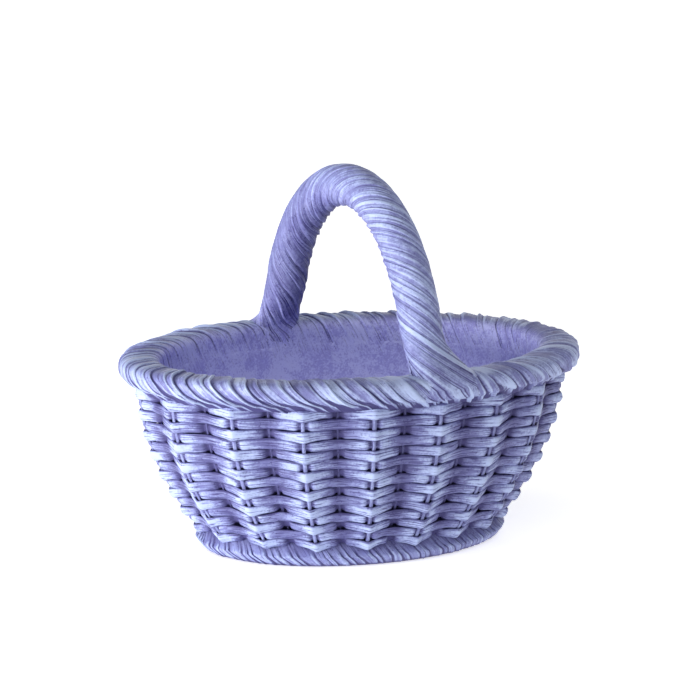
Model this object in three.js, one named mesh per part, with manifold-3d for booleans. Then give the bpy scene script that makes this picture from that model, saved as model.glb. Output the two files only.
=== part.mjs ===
// An oval resin basket that reproduces wicker: a smooth inner bowl, a wall of woven courses and
// upright stakes around it, a rope rim, a rope foot and a fixed rope handle.
// Millimetres, +Z up. X runs along the oval, the handle spans Y, and the origin is on the floor
// under the middle of the basket.
import * as THREE from 'three';
import { mergeVertices } from 'three/addons/utils/BufferGeometryUtils.js';
import Module from 'manifold-3d';

// Driving dimensions of the rim
const RIM_LENGTH = 300; // over the rim rope, along X
const RIM_WIDTH = 237.5; // over the rim rope, along Y
const RIM_TOP = 123; // crown of the rim rope above the floor
const RIM_ROPE_HEIGHT = 17; // underside to crown
const RIM_OVERHANG = 7.8; // the rim rope stands out past the wall by this much
const ROPE_SQUARENESS = 2.6; // 2 gives an oval rope section, more fills its corners
const RIM_STRANDS = 84;
const RIM_STRAND_DEPTH = 1.5; // a crease lies this far below the lip beside it
const RIM_STRAND_LIP = 0.8; // share of a strand's width at which its lip stands
const RIM_LAY = 10.5; // a strand moves along the rim by this much on each quarter of the rope section
const RIM_LAY_BEND = 2.5; // and by this much more on the outer quarter, growing with its square

// Driving dimensions of the foot and the wall
const FOOT_LENGTH = 198; // over the foot rope, along X
const FOOT_WIDTH = 152.5; // over the foot rope, along Y
const FOOT_ROPE_HEIGHT = 10;
const FOOT_INSET = 2.2; // the wall stands out past the foot rope by this much
const WALL_BELLY = 0.89; // swell of the wall between foot and rim
const BOWL_WALL = 5;
const BOWL_FLOOR = 6;

// Driving dimensions of the weave
const COURSES = 15; // an odd count, so that the top and bottom courses both pass outside the ridges
const COURSE_TAPER = 0.1; // the lowest course is lower than the mean by this share, the top one higher
const STAKE_PAIRS = 18; // ridge stakes, and as many valley stakes between them
const FIRST_RIDGE = 0.475; // share of the way round from +X, counted towards +Y
const FOLD_DEPTH = 6; // a valley lies this much deeper than a ridge
const STRIP_THICKNESS = 2.2;
const STRIP_TURN = 2.2; // a strip runs flat this far past a stake before it dives
const STAKE_WIDTH = 2.6;
const STAKE_THICKNESS = 2;

// Driving dimensions of the handle
const HANDLE_RISE = 112.6; // top of the handle above the crown of the rim
const HANDLE_INSET = 28.6; // middle of a leg, in from the outside of the rim
const HANDLE_THICKNESS = 26;
const NEAR_TRAIL = 19; // the leg at -Y spreads along the rim by this much where its strands run out
const FAR_TRAIL = 5; // and the leg at +Y by this much
const HANDLE_LEAD = 4; // both spread by this much on their other side
const FLARE_HEIGHT = 30; // the spread fades out this far above a leg's end
const NEAR_FLOW = 25; // the outer side of the leg at -Y flows out over the rim from this far above its end
const FAR_FLOW = 14; // and that of the leg at +Y from this far
const RIM_SHOULDER = 1.5; // the leg's outer side ends this far inside the outside of the rim
const DRAW_BACK_HEIGHT = 35; // the leg's inner side draws back onto the rim from this far above its end
const DRAW_BACK_POWER = 2.6;
const HANDLE_BITE = 4; // the drawn-back side ends this far inside the rim's inner edge
const HANDLE_STRANDS = 11;
const HANDLE_STRAND_DEPTH = 1.4;
const HANDLE_STRAND_LIP = 0.55;
const HANDLE_PITCH = 92; // a strand goes once round the handle in this length

const STRAND_VARIETY = 0.35; // strands are wider or narrower than their mean by up to this share

const SEAM = 0.35; // clearance between neighbouring pieces

// Steps of the curved surfaces
const OVAL_STEPS = 60;
const ROPE_SIDES = 10;
const WALL_STEPS = 6;
const HANDLE_STEPS = 60;
const LEVEL_PASSES = 12; // refinements when a point of the wall is sought on a level

// Lavender resin, paler where paint was brushed over the high spots and darker where the wash lies deep
const FINISHES = {
  bowl: { color: 0x7a7ab4, roughness: 0.55, metalness: 0 },
  foot: { color: 0x8089b4, roughness: 0.6, metalness: 0 },
  rim: { color: 0xa0a7d8, roughness: 0.55, metalness: 0 },
  handle: { color: 0xa6addd, roughness: 0.5, metalness: 0 },
  weave: { color: 0x949dcb, roughness: 0.6, metalness: 0 },
  ridgeStake: { color: 0xaab2de, roughness: 0.6, metalness: 0 },
  valleyStake: { color: 0x7078a4, roughness: 0.65, metalness: 0 },
};

// Levels and depths that follow from the dimensions. A depth is measured into the wall, along its normal.
const rimUnderside = RIM_TOP - RIM_ROPE_HEIGHT;
const rimMiddle = RIM_TOP - RIM_ROPE_HEIGHT / 2;
const wallBottom = FOOT_ROPE_HEIGHT + SEAM;
const wallTop = rimUnderside - SEAM;
const layer = STRIP_THICKNESS / 2 + SEAM + STAKE_THICKNESS / 2;
const ridgeOver = STRIP_THICKNESS / 2;
const ridgeStake = ridgeOver + layer;
const ridgeUnder = ridgeStake + layer;
const valleyOver = FOLD_DEPTH + STRIP_THICKNESS / 2;
const valleyStake = valleyOver + layer;
const valleyUnder = valleyStake + layer;
const bowlOutside = valleyUnder + STRIP_THICKNESS / 2 + SEAM;
const bowlInside = bowlOutside + BOWL_WALL;

const wasm = await Module();
wasm.setup();

// Outer oval of the wall at a height, with how fast it widens there
function wallOval(height) {
  const span = wallTop - wallBottom;
  const share = (height - wallBottom) / span;
  const swell = share + WALL_BELLY * share * (1 - share);
  const rate = (1 + WALL_BELLY * (1 - 2 * share)) / span;
  const bottom = [FOOT_LENGTH / 2 + FOOT_INSET, FOOT_WIDTH / 2 + FOOT_INSET];
  const top = [RIM_LENGTH / 2 - RIM_OVERHANG, RIM_WIDTH / 2 - RIM_OVERHANG];
  return {
    a: THREE.MathUtils.lerp(bottom[0], top[0], swell),
    b: THREE.MathUtils.lerp(bottom[1], top[1], swell),
    aRate: (top[0] - bottom[0]) * rate,
    bRate: (top[1] - bottom[1]) * rate,
  };
}

// Point at an angle and a height of the wall's outer face, moved into the wall by a depth
function wallPoint(angle, height, depth) {
  const { a, b, aRate, bRate } = wallOval(height);
  const c = Math.cos(angle);
  const s = Math.sin(angle);
  const normal = new THREE.Vector3(b * c, a * s, -(b * aRate * c * c + a * bRate * s * s)).normalize();
  return new THREE.Vector3(a * c, b * s, height).addScaledVector(normal, -depth);
}

// Height of the outer face whose point at a depth lies on the level wanted
function heightForLevel(angle, level, depth) {
  let height = level;
  for (let pass = 0; pass < LEVEL_PASSES; pass += 1) {
    height += level - wallPoint(angle, height, depth).z;
  }
  return height;
}

// Point of the wall on a level, at a depth
function levelPoint(angle, level, depth) {
  return wallPoint(angle, heightForLevel(angle, level, depth), depth);
}

// Turn along the oval that covers a distance at a point of the wall
function turnFor(angle, height, distance) {
  const { a, b } = wallOval(height);
  return distance / Math.hypot(a * Math.sin(angle), b * Math.cos(angle));
}

// Angle at a share of the way round the oval, measured along its edge at half height
const middleOval = wallOval((wallBottom + wallTop) / 2);
const middleCurve = new THREE.EllipseCurve(0, 0, middleOval.a, middleOval.b);
const rimCurve = new THREE.EllipseCurve(0, 0, RIM_LENGTH / 2, RIM_WIDTH / 2);
function angleAtShare(share, curve = middleCurve) {
  const wrapped = THREE.MathUtils.euclideanModulo(share, 1);
  return 2 * Math.PI * curve.getUtoTmapping(wrapped);
}

function ovalPoint(length, width, angle) {
  return new THREE.Vector3((length / 2) * Math.cos(angle), (width / 2) * Math.sin(angle), 0);
}

const ovalAngles = Array.from({ length: OVAL_STEPS }, (_, step) => (2 * Math.PI * step) / OVAL_STEPS);

// Surface through loops of points. A closed one joins its last loop to its first, an open one is capped.
function skin(loops, closed) {
  const sides = loops[0].length;
  const index = [];
  const corner = (loop, side) => (loop % loops.length) * sides + (side % sides);
  const joins = closed ? loops.length : loops.length - 1;
  for (let loop = 0; loop < joins; loop += 1) {
    for (let side = 0; side < sides; side += 1) {
      const near = [corner(loop, side), corner(loop, side + 1)];
      const far = [corner(loop + 1, side), corner(loop + 1, side + 1)];
      index.push(near[0], far[0], far[1], near[0], far[1], near[1]);
    }
  }
  for (let side = 1; !closed && side < sides - 1; side += 1) {
    const last = loops.length - 1;
    index.push(corner(0, 0), corner(0, side), corner(0, side + 1));
    index.push(corner(last, 0), corner(last, side + 1), corner(last, side));
  }
  return new THREE.BufferGeometry().setFromPoints(loops.flat()).setIndex(index);
}

// Turns of the corners round a rope section, from its outside over its crown
const ropeTurns = Array.from({ length: ROPE_SIDES }, (_, side) => (2 * Math.PI * side) / ROPE_SIDES);
const flatTurn = ropeTurns[Math.floor(ROPE_SIDES / 4)];

function rounded(value) {
  return Math.sign(value) * Math.abs(value) ** (2 / ROPE_SQUARENESS);
}

// Corner of a rope's section at an angle round the oval, grown outwards. The rope lies between an outer and
// an inner edge and two levels, with a narrow flat on its crown and its underside.
function ropeCorner(rope, angle, turn, grown) {
  const [outer, inner] = rope.edgesAt(angle);
  const middle = outer.clone().add(inner).multiplyScalar(0.5).setZ((rope.bottom + rope.top) / 2);
  const across = outer.clone().sub(inner).setZ(0);
  const halfWidth = across.length() / 2 + grown;
  const halfHeight = (rope.top - rope.bottom) / 2 + grown;
  const point = middle.addScaledVector(across.normalize(), halfWidth * rounded(Math.cos(turn)));
  point.z += (halfHeight * rounded(Math.sin(turn))) / rounded(Math.sin(flatTurn));
  return point;
}

// Plain ring of rope
function ropeRing(rope, grown) {
  return skin(
    ovalAngles.map((angle) => ropeTurns.map((turn) => ropeCorner(rope, angle, turn, grown))),
    true,
  );
}

// Creases and lips of a rope's strands of uneven width, in turn, as shares of the way across them all
function strandLines(count, lip) {
  const swings = 2 * Math.round(0.19 * count);
  let edge = 0;
  return Array.from({ length: count }, (_, strand) => {
    const width = 1 + STRAND_VARIETY * Math.cos((2 * Math.PI * swings * strand) / count);
    const crease = edge;
    edge += width;
    return [
      { place: crease / count, crease: true },
      { place: (crease + lip * width) / count, crease: false },
    ];
  }).flat();
}

// How far a strand of the rim has moved along it at a turn of the section, and how deep its creases are there.
// The strands run from the inner edge over the crown to the underside, where the lay goes back.
function rimLay(turn) {
  const quarters = THREE.MathUtils.euclideanModulo(Math.PI - turn, 2 * Math.PI) / (Math.PI / 2);
  const lowest = 2 + flatTurn / (Math.PI / 2);
  const shiftAt = (count) => RIM_LAY * count + RIM_LAY_BEND * Math.max(0, count - 1) ** 2;
  const past = Math.max(0, quarters - lowest);
  const shift = shiftAt(Math.min(quarters, lowest)) * (1 - past / (4 - lowest));
  const climb = THREE.MathUtils.smoothstep(quarters, 0, 1);
  const ending = 1 - THREE.MathUtils.smoothstep(quarters, 2.3, lowest);
  return { shift, depth: RIM_STRAND_DEPTH * climb * ending };
}

// Ring of rope whose faces follow its strands
function strandRing(rope, curve, lines) {
  const length = curve.getLength();
  const loops = lines.map(({ place, crease }) =>
    ropeTurns.map((turn) => {
      const { shift, depth } = rimLay(turn);
      const angle = angleAtShare(place + shift / length, curve);
      return ropeCorner(rope, angle, turn, crease ? -depth : 0);
    }),
  );
  return skin(loops, true);
}

// The rim rope reaches from outside the wall to the bowl's inner face, and the foot rope to the bowl's plinth
function rimEdges(angle) {
  return [ovalPoint(RIM_LENGTH, RIM_WIDTH, angle), levelPoint(angle, wallTop, bowlInside)];
}

function footEdges(angle) {
  const plinth = levelPoint(angle, wallBottom, bowlOutside).setZ(0);
  const outer = ovalPoint(FOOT_LENGTH, FOOT_WIDTH, angle);
  const inward = plinth.clone().sub(outer).normalize();
  return [outer, plinth.addScaledVector(inward, -SEAM)];
}

const rimRope = { edgesAt: rimEdges, bottom: rimUnderside, top: RIM_TOP };
const footRope = { edgesAt: footEdges, bottom: 0, top: FOOT_ROPE_HEIGHT };

// The bowl rises straight inside the foot rope, follows the wall up to the rim and comes down inside
function bowlGeometry() {
  const loopAt = (level, depth) => ovalAngles.map((angle) => levelPoint(-angle, level, depth));
  const plinth = loopAt(wallBottom, bowlOutside).map((point) => point.setZ(0));
  const outside = [];
  const inside = [];
  for (let step = 0; step <= WALL_STEPS; step += 1) {
    const share = step / WALL_STEPS;
    outside.push(loopAt(THREE.MathUtils.lerp(wallBottom, wallTop, share), bowlOutside));
    inside.unshift(loopAt(THREE.MathUtils.lerp(BOWL_FLOOR, wallTop, share), bowlInside));
  }
  return skin([plinth, ...outside, ...inside], false);
}

// One course of the weave, a strip that passes over every other stake
function courseGeometry(lowEdge, highEdge, overRidges) {
  const loops = [];
  for (let fold = 0; fold < 2 * STAKE_PAIRS; fold += 1) {
    const onRidge = fold % 2 === 0;
    const over = onRidge === overRidges;
    const ridgeDepth = over ? ridgeOver : ridgeUnder;
    const valleyDepth = over ? valleyOver : valleyUnder;
    const depth = onRidge ? ridgeDepth : valleyDepth;
    const middle = angleAtShare(FIRST_RIDGE + fold / (2 * STAKE_PAIRS));
    for (const side of [-1, 1]) {
      const section = [
        [lowEdge, depth - STRIP_THICKNESS / 2],
        [highEdge, depth - STRIP_THICKNESS / 2],
        [highEdge, depth + STRIP_THICKNESS / 2],
        [lowEdge, depth + STRIP_THICKNESS / 2],
      ];
      loops.push(
        section.map(([height, at]) => {
          const turn = turnFor(middle, height, STAKE_WIDTH / 2 + STRIP_TURN);
          return wallPoint(middle + side * turn, height, at);
        }),
      );
    }
  }
  return skin(loops, true);
}

// An upright stake from the foot rope to the rim rope
function stakeGeometry(share, depth) {
  const middle = angleAtShare(share);
  const loops = [];
  for (let step = 0; step <= WALL_STEPS; step += 1) {
    const level = THREE.MathUtils.lerp(wallBottom, wallTop, step / WALL_STEPS);
    const turn = turnFor(middle, heightForLevel(middle, level, depth), STAKE_WIDTH / 2);
    const outside = depth - STAKE_THICKNESS / 2;
    const inside = depth + STAKE_THICKNESS / 2;
    loops.push([
      levelPoint(middle + turn, level, outside),
      levelPoint(middle - turn, level, outside),
      levelPoint(middle - turn, level, inside),
      levelPoint(middle + turn, level, inside),
    ]);
  }
  return skin(loops, false);
}

function solidFrom(geometry) {
  const merged = mergeVertices(geometry);
  const vertProperties = merged.attributes.position.array;
  const triVerts = new Uint32Array(merged.index.array);
  return new wasm.Manifold(new wasm.Mesh({ numProp: 3, vertProperties, triVerts }));
}

function geometryFrom(solid) {
  const mesh = solid.getMesh();
  const geometry = new THREE.BufferGeometry();
  geometry.setAttribute('position', new THREE.BufferAttribute(mesh.vertProperties, 3));
  return geometry.setIndex(new THREE.BufferAttribute(mesh.triVerts, 1));
}

// A half-oval arch of twisted strands. Its legs trail out along the rim, draw back onto it inside, and are
// cut to saddle it.
function handleGeometry() {
  const radius = HANDLE_THICKNESS / 2;
  const halfSpan = RIM_WIDTH / 2 - HANDLE_INSET;
  const rise = RIM_TOP + HANDLE_RISE - radius - rimMiddle;
  const arch = new THREE.EllipseCurve(0, rimMiddle, halfSpan, rise, 0, Math.PI);
  const length = arch.getLength();
  const lines = strandLines(HANDLE_STRANDS, HANDLE_STRAND_LIP);
  const outFlare = HANDLE_INSET - radius - RIM_SHOULDER;
  const seatInside = Math.abs(levelPoint(-Math.PI / 2, wallTop, bowlInside).y) + HANDLE_BITE;
  const loops = [];
  for (let step = 0; step <= HANDLE_STEPS; step += 1) {
    const share = step / HANDLE_STEPS;
    const middle = arch.getPointAt(share);
    const tangent = arch.getTangentAt(share);
    const facing = new THREE.Vector2(tangent.y, -tangent.x);
    const above = middle.y - rimMiddle;
    const [trail, flowHeight] = share > 0.5 ? [NEAR_TRAIL, NEAR_FLOW] : [FAR_TRAIL, FAR_FLOW];
    const fade = Math.max(0, 1 - above / FLARE_HEIGHT) ** 2;
    const flow = 1 - THREE.MathUtils.smoothstep(above, 0, flowHeight);
    const outer = middle.clone().addScaledVector(facing, radius + outFlare * flow);
    const inner = middle.clone().addScaledVector(facing, -radius);
    const drawn = Math.max(0, 1 - (inner.y - rimMiddle) / DRAW_BACK_HEIGHT) ** DRAW_BACK_POWER;
    inner.x = THREE.MathUtils.lerp(inner.x, Math.sign(middle.x) * seatInside, drawn);
    const core = outer.clone().add(inner).multiplyScalar(0.5);
    const half = outer.clone().sub(core);
    const twist = ((share - 0.5) * length) / HANDLE_PITCH;
    loops.push(
      lines.map(({ place, crease }) => {
        const around = 2 * Math.PI * (place + twist - 0.5);
        const sunk = crease ? HANDLE_STRAND_DEPTH : 0;
        const side = Math.sin(around);
        const spread = side > 0 === share > 0.5 ? trail : HANDLE_LEAD;
        const at = core.clone().addScaledVector(half, Math.cos(around) * (1 - sunk / half.length()));
        return new THREE.Vector3((radius + spread * fade - sunk) * side, at.x, at.y);
      }),
    );
  }
  const seat = ropeRing(rimRope, SEAM);
  return geometryFrom(solidFrom(skin(loops, false)).subtract(solidFrom(seat)));
}

const basket = new THREE.Group();

function addPiece(name, geometry, finish) {
  const piece = new THREE.Mesh(geometry, new THREE.MeshStandardMaterial(finish));
  piece.name = name;
  basket.add(piece);
}

function numbered(stem, number) {
  return `${stem}_${String(number).padStart(2, '0')}`;
}

addPiece('inner_bowl', bowlGeometry(), FINISHES.bowl);
addPiece('foot_border', ropeRing(footRope, 0), FINISHES.foot);
const rimLines = strandLines(RIM_STRANDS, RIM_STRAND_LIP);
addPiece('rim_border', strandRing(rimRope, rimCurve, rimLines), FINISHES.rim);
addPiece('handle', handleGeometry(), FINISHES.handle);

// The courses stop where the deepest part of a strip still passes under the rim
const courseTop = Math.min(wallTop, heightForLevel(0, wallTop, bowlOutside));
function courseEdge(number) {
  const share = number / COURSES;
  return THREE.MathUtils.lerp(wallBottom, courseTop, share - COURSE_TAPER * share * (1 - share));
}
for (let course = 1; course <= COURSES; course += 1) {
  const low = courseEdge(course - 1) + SEAM / 2;
  const high = courseEdge(course) - SEAM / 2;
  const overRidges = course % 2 === 1;
  addPiece(numbered('weave_course', course), courseGeometry(low, high, overRidges), FINISHES.weave);
}

for (let pair = 1; pair <= STAKE_PAIRS; pair += 1) {
  const ridge = FIRST_RIDGE + (pair - 1) / STAKE_PAIRS;
  const valley = ridge + 0.5 / STAKE_PAIRS;
  addPiece(numbered('ridge_stake', pair), stakeGeometry(ridge, ridgeStake), FINISHES.ridgeStake);
  addPiece(numbered('valley_stake', pair), stakeGeometry(valley, valleyStake), FINISHES.valleyStake);
}

export default basket;
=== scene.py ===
# %% [markdown]
# # A resin basket cast to look like wicker
# The basket is cast in lavender resin, and its mould was taken from a basket woven by hand. So it has the
# shapes of wicker, with the soft edges and the brushed-on paint of a casting. This lesson dresses the
# plain solids of the basket piece by piece: each solid is hidden, and a finer mesh stands in its place.

# %% Load the solids
import math

import bpy
import numpy as np
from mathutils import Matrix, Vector


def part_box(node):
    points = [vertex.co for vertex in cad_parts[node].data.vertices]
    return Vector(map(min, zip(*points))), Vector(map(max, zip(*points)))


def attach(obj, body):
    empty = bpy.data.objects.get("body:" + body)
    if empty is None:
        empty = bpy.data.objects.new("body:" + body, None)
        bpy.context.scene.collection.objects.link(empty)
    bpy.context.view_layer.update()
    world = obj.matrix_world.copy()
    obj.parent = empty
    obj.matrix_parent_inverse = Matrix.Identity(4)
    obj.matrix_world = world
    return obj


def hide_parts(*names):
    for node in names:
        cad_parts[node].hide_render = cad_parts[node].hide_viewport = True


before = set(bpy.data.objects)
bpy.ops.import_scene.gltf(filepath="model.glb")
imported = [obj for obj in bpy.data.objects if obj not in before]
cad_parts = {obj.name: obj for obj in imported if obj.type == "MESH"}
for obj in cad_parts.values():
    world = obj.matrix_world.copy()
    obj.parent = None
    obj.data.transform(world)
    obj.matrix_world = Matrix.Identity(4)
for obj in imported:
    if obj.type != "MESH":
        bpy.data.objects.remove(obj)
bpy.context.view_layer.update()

# %% [markdown]
# ## The camera
# A picture with nearly parallel edges was taken from far away with a long lens. The camera therefore
# stands 2.4 m off, a little above the rim and to the left of the handle's plane, and looks at a point on
# the axis of the basket about half way up.

# %% Camera
AZIMUTH = math.radians(-28.99)
ELEVATION = math.radians(10.89)
DISTANCE = 2.4
LENS_MM = 198.7
SENSOR_MM = 36
AIM_RIGHT = -0.0007
AIM_HEIGHT = 0.1193

back = Vector((math.sin(AZIMUTH) * math.cos(ELEVATION), -math.cos(AZIMUTH) * math.cos(ELEVATION),
               math.sin(ELEVATION)))
right = Vector((math.cos(AZIMUTH), math.sin(AZIMUTH), 0))
aim = AIM_RIGHT * right + Vector((0, 0, AIM_HEIGHT))
lens = bpy.data.cameras.new("camera")
lens.lens = LENS_MM
lens.sensor_width = SENSOR_MM
camera = bpy.data.objects.new("camera", lens)
camera.location = aim + DISTANCE * back
camera.rotation_euler = back.to_track_quat("Z", "Y").to_euler()
bpy.context.collection.objects.link(camera)
bpy.context.scene.camera = camera
print("camera at", camera.location[:])

# %% [markdown]
# ## Floor and light
# A white floor that glows a little and a dim white surround give a plain studio. A long, low lamp stands
# to the left, level with the basket, so that the folds of the wall shade from left to right. A broad soft
# sun from above, in front and to the left, reaches into the bowl, and a weaker, low one from behind keeps
# the far side from going dark. The Standard view keeps a strong lavender as it is, where a filmic view
# would grey it.

# %% Floor, surround and lamps
FLOOR_SIDE = 30.0
FLOOR_GLOW = 0.64
FLOOR_WHITE, FLOOR_ROUGHNESS = 0.93, 0.9
SURROUND = 0.05
KEY_FROM, TOP_FROM, BACK_FROM = (-92, 0), (-32, 48), (138, 12)  # azimuths and elevations in degrees
KEY_DISTANCE, SUN_DISTANCE = 1.4, 2.0
KEY_POWER, KEY_WIDTH, KEY_HEIGHT = 23.0, 0.9, 0.22
TOP_STRENGTH, TOP_SOFTNESS = 1.5, math.radians(80)
BACK_STRENGTH, BACK_SOFTNESS = 1.2, math.radians(60)

scene = bpy.context.scene
scene.view_settings.view_transform = "Standard"


def lamp(name, kind, direction, distance, power):
    """A lamp that faces the middle of the basket from an azimuth and an elevation in degrees."""
    turn, rise = (math.radians(angle) for angle in direction)
    towards = Vector((math.sin(turn) * math.cos(rise), -math.cos(turn) * math.cos(rise), math.sin(rise)))
    light = bpy.data.lights.new(name, kind)
    light.energy = power
    thing = bpy.data.objects.new(name, light)
    thing.location = aim + distance * towards
    thing.rotation_euler = towards.to_track_quat("Z", "Y").to_euler()
    bpy.context.collection.objects.link(thing)
    return light


key = lamp("key_lamp", "AREA", KEY_FROM, KEY_DISTANCE, KEY_POWER)
key.shape = "RECTANGLE"
key.size = KEY_WIDTH
key.size_y = KEY_HEIGHT
lamp("top_lamp", "SUN", TOP_FROM, SUN_DISTANCE, TOP_STRENGTH).angle = TOP_SOFTNESS
lamp("back_lamp", "SUN", BACK_FROM, SUN_DISTANCE, BACK_STRENGTH).angle = BACK_SOFTNESS

world = bpy.data.worlds.new("surround")
world.use_nodes = True
world.node_tree.nodes["Background"].inputs["Color"].default_value = (1, 1, 1, 1)
world.node_tree.nodes["Background"].inputs["Strength"].default_value = SURROUND
scene.world = world

half = FLOOR_SIDE / 2
floor_corners = [(-half, -half, 0), (half, -half, 0), (half, half, 0), (-half, half, 0)]
floor_mesh = bpy.data.meshes.new("floor")
floor_mesh.from_pydata(floor_corners, [], [(0, 1, 2, 3)])
floor = bpy.data.objects.new("floor", floor_mesh)
bpy.context.collection.objects.link(floor)
floor_paint = bpy.data.materials.new("floor_paint")
floor_paint.use_nodes = True
floor_shader = floor_paint.node_tree.nodes["Principled BSDF"]
floor_shader.inputs["Base Color"].default_value = (FLOOR_WHITE, FLOOR_WHITE, FLOOR_WHITE, 1)
floor_shader.inputs["Roughness"].default_value = FLOOR_ROUGHNESS
floor_shader.inputs["Emission Color"].default_value = (1, 1, 1, 1)
floor_shader.inputs["Emission Strength"].default_value = FLOOR_GLOW
floor_mesh.materials.append(floor_paint)

# %% [markdown]
# ## The form of the wall
# Everything hangs on one surface: an oval that widens from the foot to the rim with a belly. The boxes of
# the solids give its levels and widths, and a few sizes of the casting are repeated here. A point of the
# wall is given by an angle round the oval, a height and a depth into the wall, so strips, posts and bowl
# all line up.

# %% Sizes of the casting
MM = 0.001
RIM_OVERHANG = 7.8 * MM
FOOT_INSET = 2.2 * MM
WALL_BELLY = 0.89
SEAM = 0.35 * MM
FOLDS = 36  # ridges and valleys together
FIRST_RIDGE = 0.475  # share of the way round from +X
COURSES = 15
COURSE_TAPER = 0.1
STRIP_THICKNESS = 2.2 * MM
BOWL_OUTSIDE = 13.45 * MM  # depth of the bowl's faces in the wall
BOWL_INSIDE = 18.45 * MM

rim_low, rim_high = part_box("rim_border")
foot_low, foot_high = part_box("foot_border")
wall_bottom = foot_high.z + SEAM
wall_top = rim_low.z - SEAM
print("wall from", round(wall_bottom, 4), "to", round(wall_top, 4))


# %% Points of the wall
OVAL_POINTS = 3601  # for measuring along an oval's edge
SETTLING_ROUNDS = 12


def wall_oval(height):
    """Half length and half width of the wall's oval at a height, and how fast they grow there."""
    span = wall_top - wall_bottom
    share = (height - wall_bottom) / span
    swell = share + WALL_BELLY * share * (1 - share)
    rate = (1 + WALL_BELLY * (1 - 2 * share)) / span
    length_growth = rim_high.x - RIM_OVERHANG - foot_high.x - FOOT_INSET
    width_growth = rim_high.y - RIM_OVERHANG - foot_high.y - FOOT_INSET
    half_length = foot_high.x + FOOT_INSET + length_growth * swell
    half_width = foot_high.y + FOOT_INSET + width_growth * swell
    return half_length, half_width, length_growth * rate, width_growth * rate


def wall_point(angle, height, depth):
    """Points of the wall at angles and heights, moved into it by depths along its normal."""
    angle, height, depth = np.broadcast_arrays(angle, height, depth)
    length, width, length_rate, width_rate = wall_oval(height)
    cos, sin = np.cos(angle), np.sin(angle)
    rise = -(width * length_rate * cos * cos + length * width_rate * sin * sin)
    normal = np.stack([width * cos, length * sin, rise], axis=-1)
    normal = normal / np.linalg.norm(normal, axis=-1, keepdims=True)
    return np.stack([length * cos, width * sin, height], axis=-1) - depth[..., None] * normal


def level_height(angle, level, depth):
    """Heights of the wall's surface from which points at a depth lie on a level."""
    angle, level, depth = np.broadcast_arrays(angle, level, depth)
    height = level.copy()
    for _ in range(SETTLING_ROUNDS):
        height = height + level - wall_point(angle, height, depth)[..., 2]
    return height


def level_point(angle, level, depth):
    """Points of the wall at a depth that lie on a level."""
    return wall_point(angle, level_height(angle, level, depth), depth)


def travelled(steps):
    """How far along each point of a line lies, from the steps between its points."""
    return np.concatenate([[0], np.cumsum(steps)])


def oval_steps(half_length, half_width):
    """Fine angles round an oval, and the lengths of its edge between them."""
    fine = np.linspace(0, 2 * np.pi, OVAL_POINTS)
    return fine, np.hypot(np.diff(half_length * np.cos(fine)), np.diff(half_width * np.sin(fine)))


def oval_angles(half_length, half_width, shares):
    """Angles at shares of the way round an oval, measured along its edge."""
    fine, steps = oval_steps(half_length, half_width)
    way = travelled(steps)
    turns = np.floor(shares)
    return np.interp(shares - turns, way / way[-1], fine) + 2 * np.pi * turns


def oval_length(half_length, half_width):
    """Length of an oval's edge."""
    return oval_steps(half_length, half_width)[1].sum()


middle_length, middle_width = wall_oval((wall_bottom + wall_top) / 2)[:2]
print("oval at half height:", round(2 * middle_length, 4), "by", round(2 * middle_width, 4))

# %% [markdown]
# ## From a grid of points to a piece
# Every piece of the basket can be laid out as a grid: stations along it, and points around each station.
# Curves with a bevel could give plain ropes and strips, but a grid from a formula puts each crease on a
# line of points of its own. One helper turns such a grid into a mesh, closes it on itself or caps its
# ends, and stores numbers on its points for the paint to read: where dark violet is painted in as shade,
# where the pale brush catches, how far inside the basket a point lies, and a place along and across the
# strands for the grain.

# %% Grid to mesh
ROOT = "root"
PAINT_MASKS = ("wash", "brush", "inside")


def grid_faces(stations, around, closed):
    """Quads of a grid whose points close around each station, and the caps of an open one."""
    last = stations if closed else stations - 1
    first, second = np.meshgrid(np.arange(last), np.arange(around), indexing="ij")
    beside = (second + 1) % around
    this_row, next_row = first * around, (first + 1) % stations * around
    corners = [this_row + second, next_row + second, next_row + beside, this_row + beside]
    faces = np.stack(corners, axis=-1).reshape(-1, 4).tolist()
    if not closed:
        faces.append(list(range(around)))
        faces.append(list(range(stations * around - 1, (stations - 1) * around - 1, -1)))
    return faces


def dress(name, points, closed, masks, lay, slot, nodes):
    """A smooth piece through a grid of points, which stands for solids of the basket."""
    stations, around = points.shape[:2]
    mesh = bpy.data.meshes.new(name)
    mesh.from_pydata(points.reshape(-1, 3).tolist(), [], grid_faces(stations, around, closed))
    mesh.polygons.foreach_set("use_smooth", np.ones(len(mesh.polygons), dtype=bool))
    for mask, values in zip(PAINT_MASKS, masks):
        values = np.broadcast_to(values, (stations, around)).astype(np.float32)
        mesh.attributes.new(mask, "FLOAT", "POINT").data.foreach_set("value", values.ravel())
    lay = np.broadcast_to(lay, (stations, around, 3)).astype(np.float32)
    mesh.attributes.new("lay", "FLOAT_VECTOR", "POINT").data.foreach_set("vector", lay.ravel())
    piece = bpy.data.objects.new(name, mesh)
    bpy.context.collection.objects.link(piece)
    mesh.materials.append(finishes[slot])
    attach(piece, ROOT)
    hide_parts(*nodes)
    return piece


print("a grid of 5 by 4 points with caps has", len(grid_faces(5, 4, False)), "faces")

# %% Normals, soft steps and seeded roughness
SEED = 7
LEAST_LENGTH = 1e-12  # keeps a normal of no length from dividing by zero
chance = np.random.default_rng(SEED)


def outward(points, closed):
    """Unit normals of a grid that closes around each station."""
    if closed:
        along = np.roll(points, -1, axis=0) - np.roll(points, 1, axis=0)
    else:
        along = np.gradient(points, axis=0)
    normal = np.cross(along, np.roll(points, -1, axis=1) - np.roll(points, 1, axis=1))
    return normal / np.maximum(np.linalg.norm(normal, axis=-1, keepdims=True), LEAST_LENGTH)


def rounded(value, power):
    """A sine or cosine that draws a superellipse of a power instead of a circle."""
    return np.sign(value) * np.abs(value) ** (2 / power)


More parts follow.
